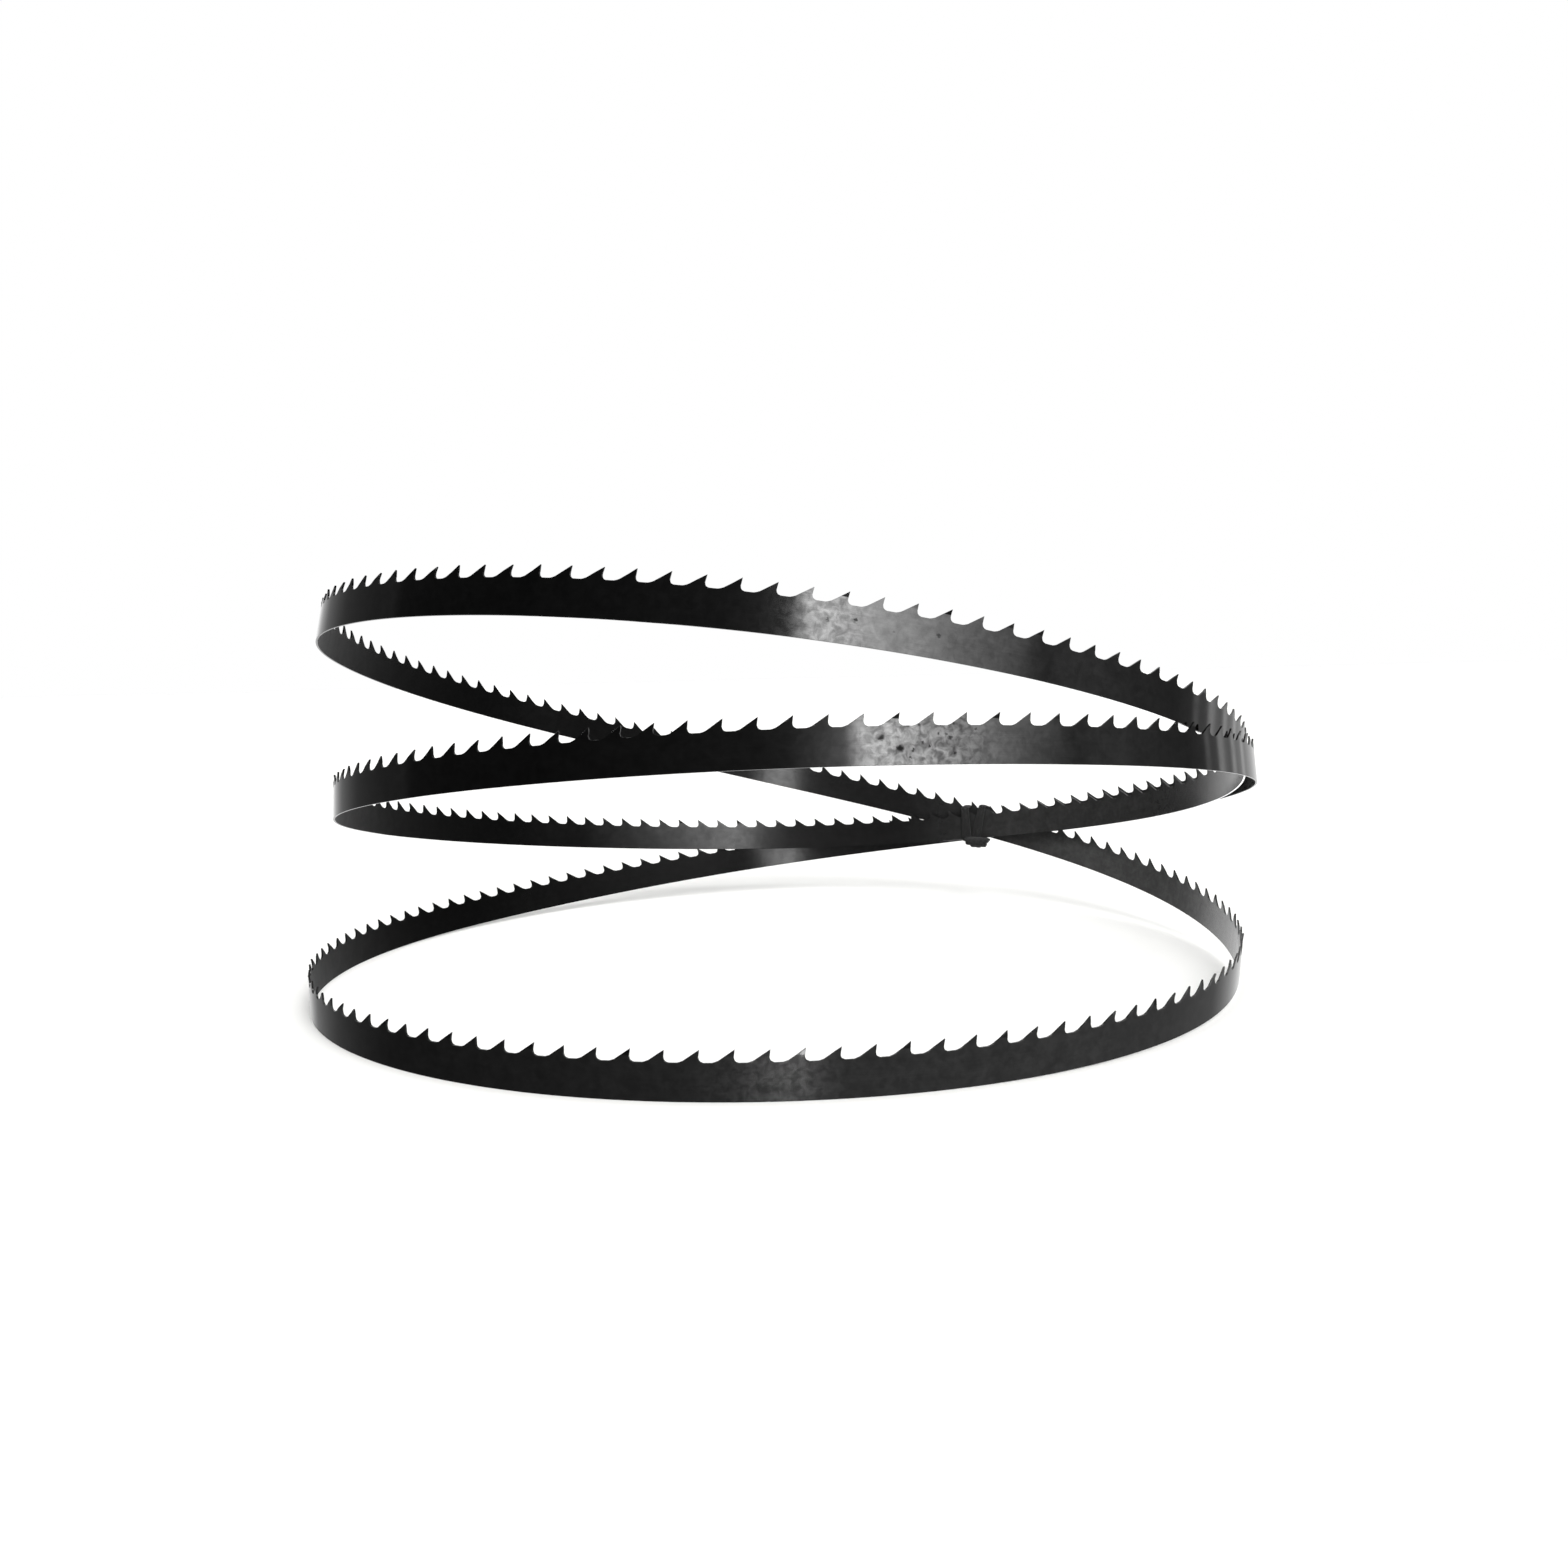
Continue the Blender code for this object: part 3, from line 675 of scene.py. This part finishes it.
# %% Haze: oil has dried on the inner face, mostly on one side of the coils
haze = add(skin, "ShaderNodeMath", {0: soft["thin haze"], 1: soft["thick haze"]}, operation="ADD")
haze = add(skin, "ShaderNodeMath", {0: soft["inner face"], 1: haze}, operation="MULTIPLY")
bare_metal = add(skin, "ShaderNodeMath", {0: 1.0, 1: haze}, operation="SUBTRACT")

# %% Roughness and relief
SCUFF_DULLER = 0.04
WELD_DULLER = 0.16
PIT_DULLER = 0.4
PIT_DEPTH = -1.5                        # beside rolling lines that go from 0 to 1
RELIEF_DEPTH = 0.01 * MM

roughness = soft["polish"]
for mask, more in ((soft["inner face"], soft["inner polish"]), (scuffed, SCUFF_DULLER),
                   (weld_strip, WELD_DULLER), (pits, PIT_DULLER)):
    roughness = add(skin, "ShaderNodeMath", {0: mask, 1: more, 2: roughness}, operation="MULTIPLY_ADD")
relief = add(skin, "ShaderNodeMath", {0: pits, 1: PIT_DEPTH, 2: lines}, operation="MULTIPLY_ADD")
bump = add(skin, "ShaderNodeBump", {"Height": relief, "Strength": 0.12, "Distance": RELIEF_DEPTH})

# %% Finish the steel
steel_shader = skin.nodes["Principled BSDF"]
steel_shader.inputs["Anisotropic"].default_value = 0.6
width_way = add(skin, "ShaderNodeAttribute", attribute_name="width_way").outputs["Vector"]
for socket, value in (("Base Color", colour.outputs[2]), ("Metallic", bare_metal.outputs[0]),
                      ("Roughness", roughness.outputs[0]), ("Normal", bump.outputs[0]),
                      ("Tangent", width_way)):
    skin.links.new(value, steel_shader.inputs[socket])
print("steel:", len(skin.nodes), "nodes")


# %% Run a tree and keep its mesh
def make_piece(name, tree, values):
    """A plain mesh object from a Geometry Nodes tree and its named inputs."""
    maker = bpy.data.objects.new(name + "_maker", bpy.data.meshes.new(name + "_maker"))
    bpy.context.scene.collection.objects.link(maker)
    nodes = maker.modifiers.new("make", "NODES")
    nodes.node_group = tree
    for item in tree.interface.items_tree:
        if item.in_out == "INPUT" and item.name in values:
            nodes[item.identifier] = values[item.name]
    graph = bpy.context.evaluated_depsgraph_get()
    mesh = bpy.data.meshes.new_from_object(maker.evaluated_get(graph))
    bpy.data.objects.remove(maker)
    mesh.name = name
    piece = bpy.data.objects.new(name, mesh)
    bpy.context.scene.collection.objects.link(piece)
    return piece


# %% Make the band
blade = make_piece("toothed_band", band_tree, {
    "Plate": plate, "Path": path, "Teeth": TOOTH_COUNT, "Pitch": TOOTH_PITCH,
    "Tip height": BAND_WIDTH, "Set": TOOTH_SET, "Set height": SET_HEIGHT,
    "Weld gap": WELD_GAP, "Steel": steel})
blade.data.set_sharp_from_angle(angle=math.radians(30))
for helper in (plate, path):
    bpy.data.objects.remove(helper)
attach(blade, "root")
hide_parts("blade")
corners = np.array([vertex.co for vertex in blade.data.vertices])
print("band:", len(blade.data.polygons), "faces,", corners.min(0), corners.max(0))

# %% [markdown]
# ## The tie
#
# Three bands cross at the back, and a flat black lace holds them there. It goes round
# twice, sinks into a gullet on each turn, and ends in a small wrapped knot underneath. A
# swept ribbon with a woven picture would look flat from close by. Real braid is cheap to
# make instead: yarns wind round the lace in two directions and pass over and under.

# %% Where the tie is
TIE_ANGLE = math.radians(57.3)
LACE_WIDTH = 4.2 * MM
LACE_GATHERED = 2.5 * MM                # where it lies in the gullets
LACE_THICKNESS = 1.05 * MM
LACE_SHOULDER = 5.0 * MM
LACE_GAP = 0.08 * MM                    # between the lace and the steel
TOP_SPREAD = 4.2 * MM
BOTTOM_SPREAD = 1.8 * MM
LACE_STATIONS = 120

tie_along = np.array((-math.sin(TIE_ANGLE), math.cos(TIE_ANGLE), 0.0))
tie_out = np.array((math.cos(TIE_ANGLE), math.sin(TIE_ANGLE), 0.0))
tie_up = np.array((0.0, 0.0, 1.0))
tie_middle = -coil_centre @ tie_along
on_tie = np.stack((corners @ tie_along - tie_middle, corners @ tie_out, corners[:, 2]), 1)
crossing = on_tie[(np.abs(on_tie[:, 0]) < LACE_WIDTH) & (on_tie[:, 1] > 0)]
tie_low, tie_high = crossing[:, 2].min(), crossing[:, 2].max()
print("bands at the tie:", len(crossing), "points, height", tie_low, "to", tie_high)

# %% Draw each turn tight round the bands
def lace_turn(side):
    """Points, width directions, outward directions and half sizes of one closed turn."""
    def spread(height):
        share = np.clip((height - tie_low) / (tie_high - tie_low), 0, 1)
        return side * (BOTTOM_SPREAD + (TOP_SPREAD - BOTTOM_SPREAD) * share)

    lane = np.abs(on_tie[:, 0] - spread(on_tie[:, 2])) < LACE_GATHERED / 2
    near = on_tie[lane & (on_tie[:, 1] > 0)][:, 1:]
    turns = np.linspace(0, 2 * math.pi, LACE_STATIONS, endpoint=False)
    facing = np.stack((np.cos(turns), np.sin(turns)), 1)
    touched = near[np.argmax(near @ facing.T, axis=0)]
    out, height = (touched + facing * (LACE_GAP + LACE_THICKNESS / 2)).T
    points = (np.outer(spread(height) + tie_middle, tie_along) + np.outer(out, tie_out)
              + np.outer(height, tie_up))
    away = np.outer(facing[:, 0], tie_out) + np.outer(facing[:, 1], tie_up)
    gathered = np.clip((tie_high - height) / LACE_SHOULDER, 0, 1)
    half_width = (LACE_GATHERED + (LACE_WIDTH - LACE_GATHERED) * gathered) / 2
    wide = np.tile(tie_along, (LACE_STATIONS, 1))
    return points, wide, away, half_width, np.full(LACE_STATIONS, LACE_THICKNESS / 2)


# %% Wrap the knot
KNOT_SHIFT = -3.6 * MM
KNOT_LENGTH = 12.8 * MM
KNOT_SIZE = 4.7 * MM
KNOT_WRAPS = 4.5
KNOT_TUCK = 1.2 * MM                    # both ends turn up towards the bands
KNOT_LACE = 1.45 * MM                   # half the width of the lace, pulled tight in the knot
KNOT_THICKNESS = 0.8 * MM               # half of it


def lace_knot():
    """The lace wound round itself, fat in the middle and running out at both ends."""
    near = on_tie[(np.abs(on_tie[:, 0] - KNOT_SHIFT) < KNOT_LENGTH / 2) & (on_tie[:, 1] > 0)]
    base = near[:, 2].min()
    inside = near[near[:, 2] < base + KNOT_SIZE / 2][:, 1].min()
    middle = (tie_along * (KNOT_SHIFT + tie_middle) + tie_out * (inside - KNOT_SIZE / 2 - LACE_GAP)
              + tie_up * base)
    share = np.linspace(-1, 1, 2 * LACE_STATIONS)
    turn = share * KNOT_WRAPS * math.pi
    run = share * (KNOT_LENGTH / 2 - KNOT_LACE)
    full = KNOT_SIZE / 2 * np.sqrt(1 - (run / (KNOT_LENGTH / 2)) ** 2)
    half_thickness = np.full(len(share), KNOT_THICKNESS)
    radius = (full - half_thickness) * (1 - np.abs(share) ** 12)    # both ends tuck in
    away = np.outer(np.cos(turn), tie_out) + np.outer(np.sin(turn), tie_up)
    points = (middle + np.outer(run, tie_along) + np.outer(KNOT_TUCK * share**4, tie_up)
              + away * radius[:, None])
    travelled = np.gradient(points, axis=0)
    wide = np.cross(travelled, away)
    wide /= np.linalg.norm(wide, axis=1)[:, None]
    return points, wide, away, np.full(len(share), KNOT_LACE), half_thickness


# %% The lace's path as a mesh of edges
LACE_VALUES = (("wide", "FLOAT_VECTOR"), ("away", "FLOAT_VECTOR"), ("half_width", "FLOAT"),
               ("half_thickness", "FLOAT"))

lace_mesh = bpy.data.meshes.new("lace_path")
lace_points, lace_edges, lace_values = [], [], []
for closed, run in ((True, lace_turn(1)), (True, lace_turn(-1)), (False, lace_knot())):
    first, count = len(lace_points), len(run[0])
    lace_points += run[0].tolist()
    lace_edges += [(first + i, first + (i + 1) % count) for i in range(count if closed else count - 1)]
    lace_values.append(run[1:])
    print("lace run:", round(sum(np.linalg.norm(np.diff(run[0], axis=0), axis=1)) / MM), "mm long")
lace_mesh.from_pydata(lace_points, lace_edges, [])
for (name, kind), values in zip(LACE_VALUES, zip(*lace_values)):
    field = "vector" if kind == "FLOAT_VECTOR" else "value"
    lace_mesh.attributes.new(name, kind, "POINT").data.foreach_set(field, np.concatenate(values).ravel())
lace_path = bpy.data.objects.new("lace_path", lace_mesh)
bpy.context.scene.collection.objects.link(lace_path)

# %% Inputs of the braid
YARNS = 10                              # in each direction
YARN_RADIUS = 0.17 * MM
YARN_LIFT = 0.09 * MM                   # over and under its neighbours
YARN_STEP = 0.28 * MM
BRAID_LAY = 9.0 * MM                    # along the lace for one turn of a yarn
CORE_STRANDS = 5

braid, given = new_tree("braided_lace", (
    ("Path", "Object"), ("Yarns", "Int"), ("Yarn radius", "Float"), ("Lift", "Float"),
    ("Step", "Float"), ("Lay", "Float"), ("Core strands", "Int"), ("Cord", "Material")))

# %% Even steps along the lace, copied for the yarns and for the core
drawn = add(braid, "GeometryNodeObjectInfo", {"Object": given["Path"]}).outputs["Geometry"]
course = add(braid, "GeometryNodeMeshToCurve", {0: drawn})
course = add(braid, "GeometryNodeResampleCurve", {"Curve": course, "Length": given["Step"]}, mode="LENGTH")
wide, away, half_width, half_thickness = [
    add(braid, "GeometryNodeInputNamedAttribute", {"Name": name}, data_type=kind)
    for name, kind in LACE_VALUES]
both_ways = add(braid, "ShaderNodeMath", {0: given["Yarns"], 1: 2.0}, operation="MULTIPLY")
copied = []
for amount in (both_ways, given["Core strands"]):
    copies = add(braid, "GeometryNodeDuplicateElements", {"Geometry": course, "Amount": amount},
                 domain="SPLINE")
    numbered = add(braid, "GeometryNodeCaptureAttribute", {"Geometry": copies}, domain="CURVE")
    numbered.capture_items.new("INT", "number")
    braid.links.new(copies.outputs[1], numbered.inputs[1])
    copied.append((numbered.outputs[0], numbered.outputs[1]))
(yarns, yarn_number), (strands, strand_number) = copied

# %% Wind the yarns: every second one the other way, over and under in turn
FULL_TURN = 2 * math.pi

odd = add(braid, "ShaderNodeMath", {0: yarn_number, 1: 2.0}, operation="MODULO")
way = add(braid, "ShaderNodeMath", {0: odd, 1: 2.0, 2: -1.0}, operation="MULTIPLY_ADD")
halved = add(braid, "ShaderNodeMath", {0: yarn_number, 1: 2.0}, operation="DIVIDE")
in_family = add(braid, "ShaderNodeMath", {0: halved}, operation="FLOOR")
start_share = add(braid, "ShaderNodeMath", {0: in_family, 1: given["Yarns"]}, operation="DIVIDE")
start = add(braid, "ShaderNodeMath", {0: start_share, 1: FULL_TURN}, operation="MULTIPLY")
run_length = add(braid, "GeometryNodeSplineLength")
lays = add(braid, "ShaderNodeMath", {0: run_length, 1: given["Lay"]}, operation="DIVIDE")
whole_lays = add(braid, "ShaderNodeMath", {0: lays}, operation="ROUND")
run_share = add(braid, "GeometryNodeSplineParameter").outputs["Factor"]
lays_here = add(braid, "ShaderNodeMath", {0: whole_lays, 1: run_share}, operation="MULTIPLY")
wound = add(braid, "ShaderNodeMath", {0: lays_here, 1: FULL_TURN}, operation="MULTIPLY")
angle = add(braid, "ShaderNodeMath", {0: wound, 1: way, 2: start}, operation="MULTIPLY_ADD")
crossings = add(braid, "ShaderNodeMath", {0: wound, 1: given["Yarns"]}, operation="MULTIPLY")
wave = add(braid, "ShaderNodeMath", {0: crossings}, operation="COSINE")
weave = add(braid, "ShaderNodeMath", {0: way, 1: wave}, operation="MULTIPLY")
lift = add(braid, "ShaderNodeMath", {0: weave, 1: given["Lift"]}, operation="MULTIPLY")

# %% Place the yarns on the lace's flattened section, an ellipse
room_for = add(braid, "ShaderNodeMath", {0: given["Yarn radius"], 1: given["Lift"]}, operation="ADD")
across_half = add(braid, "ShaderNodeMath", {0: half_width, 1: room_for}, operation="SUBTRACT")
through_half = add(braid, "ShaderNodeMath", {0: half_thickness, 1: room_for}, operation="SUBTRACT")
cosine = add(braid, "ShaderNodeMath", {0: angle}, operation="COSINE")
sine = add(braid, "ShaderNodeMath", {0: angle}, operation="SINE")
ellipse = []
for wide_half, away_half in ((across_half, through_half), (through_half, across_half)):
    wide_part = add(braid, "ShaderNodeMath", {0: wide_half, 1: cosine}, operation="MULTIPLY")
    away_part = add(braid, "ShaderNodeMath", {0: away_half, 1: sine}, operation="MULTIPLY")
    out = add(braid, "ShaderNodeVectorMath", {0: away, 1: away_part}, operation="MULTIPLY")
    ellipse.append(add(braid, "ShaderNodeVectorMath", {0: wide, 1: wide_part, 2: out},
                       operation="MULTIPLY_ADD"))
on_ellipse, steepest = ellipse
outwards = add(braid, "ShaderNodeVectorMath", {0: steepest}, operation="NORMALIZE")
yarn_place = add(braid, "ShaderNodeVectorMath", {0: outwards, 1: lift, 2: on_ellipse},
                 operation="MULTIPLY_ADD")
laid_yarns = add(braid, "GeometryNodeSetPosition", {"Geometry": yarns, "Offset": yarn_place})
thread = add(braid, "GeometryNodeCurvePrimitiveCircle", {"Resolution": 5, "Radius": given["Yarn radius"]})
sleeve = add(braid, "GeometryNodeCurveToMesh",
             {"Curve": laid_yarns, "Profile Curve": thread, "Fill Caps": True})

# %% A core of straight strands, so that nothing shows through
CORE_COVER = 1.6                        # yarn radii between the core and the lace's surface

last_number = add(braid, "ShaderNodeMath", {0: given["Core strands"], 1: 1.0}, operation="SUBTRACT")
strand_share = add(braid, "ShaderNodeMath", {0: strand_number, 1: last_number}, operation="DIVIDE")
strand_side = add(braid, "ShaderNodeMath", {0: strand_share, 1: 2.0, 2: -1.0}, operation="MULTIPLY_ADD")
cover = add(braid, "ShaderNodeMath", {0: given["Yarn radius"], 1: CORE_COVER}, operation="MULTIPLY")
core_radius = add(braid, "ShaderNodeMath", {0: half_thickness, 1: cover}, operation="SUBTRACT")
core_reach = add(braid, "ShaderNodeMath", {0: across_half, 1: core_radius}, operation="SUBTRACT")
sideways = add(braid, "ShaderNodeMath", {0: core_reach, 1: strand_side}, operation="MULTIPLY")
strand_place = add(braid, "ShaderNodeVectorMath", {0: wide, 1: sideways}, operation="MULTIPLY")
laid_core = add(braid, "GeometryNodeSetPosition", {"Geometry": strands, "Offset": strand_place})
round_profile = add(braid, "GeometryNodeCurvePrimitiveCircle", {"Resolution": 8, "Radius": 1.0})
core = add(braid, "GeometryNodeCurveToMesh", {"Curve": laid_core, "Profile Curve": round_profile,
                                              "Scale": core_radius, "Fill Caps": True})

# %% Join and finish the braid
both = add(braid, "GeometryNodeJoinGeometry")
for part in (core, sleeve):
    braid.links.new(part.outputs[0], both.inputs[0])
real = add(braid, "GeometryNodeRealizeInstances", {0: both})
rounded = add(braid, "GeometryNodeSetShadeSmooth", {"Geometry": real})
dyed = add(braid, "GeometryNodeSetMaterial", {"Geometry": rounded, "Material": given["Cord"]})
add(braid, "NodeGroupOutput", {0: dyed})
print("braid tree:", len(braid.nodes), "nodes")

# %% [markdown]
# ## Black cotton lace
#
# A lace has no gloss, only the soft rim of light that loose fibres give, so a high
# roughness with a constant sheen does it. The yarns are slightly uneven in their dye.

# %% Black lace
LACE_BLACK = "#141414"
LACE_FADED = "#222222"
FIBRE_SIZE = 0.4 * MM

cord = bpy.data.materials.new("black_braided_cotton")
cord.use_nodes = True
dye = cord.node_tree
cord_shader = dye.nodes["Principled BSDF"]
for socket, value in (("Roughness", 0.85), ("Specular IOR Level", 0.3), ("Sheen Weight", 0.25),
                      ("Sheen Roughness", 0.4)):
    cord_shader.inputs[socket].default_value = value
fibre_place = add(dye, "ShaderNodeTexCoord").outputs["Object"]
fibres = add(dye, "ShaderNodeTexNoise", {"Vector": fibre_place, "Scale": 1 / FIBRE_SIZE, "Detail": 3.0})
faded = add(dye, "ShaderNodeMapRange", {0: fibres, 1: 0.3, 2: 0.7})
dyed_tone = add(dye, "ShaderNodeMix", {"Factor": faded, 6: linear(LACE_BLACK), 7: linear(LACE_FADED)},
                data_type="RGBA")
dye.links.new(dyed_tone.outputs[2], cord_shader.inputs["Base Color"])
print("lace:", len(dye.nodes), "nodes")

# %% Make the lace
lace = make_piece("tie_lace", braid, {
    "Path": lace_path, "Yarns": YARNS, "Yarn radius": YARN_RADIUS, "Lift": YARN_LIFT,
    "Step": YARN_STEP, "Lay": BRAID_LAY, "Core strands": CORE_STRANDS, "Cord": cord})
bpy.data.objects.remove(lace_path)
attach(lace, "root")
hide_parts("coil_tie")
lace_corners = np.array([vertex.co for vertex in lace.data.vertices])
print("lace:", len(lace.data.polygons), "faces,", lace_corners.min(0), lace_corners.max(0))
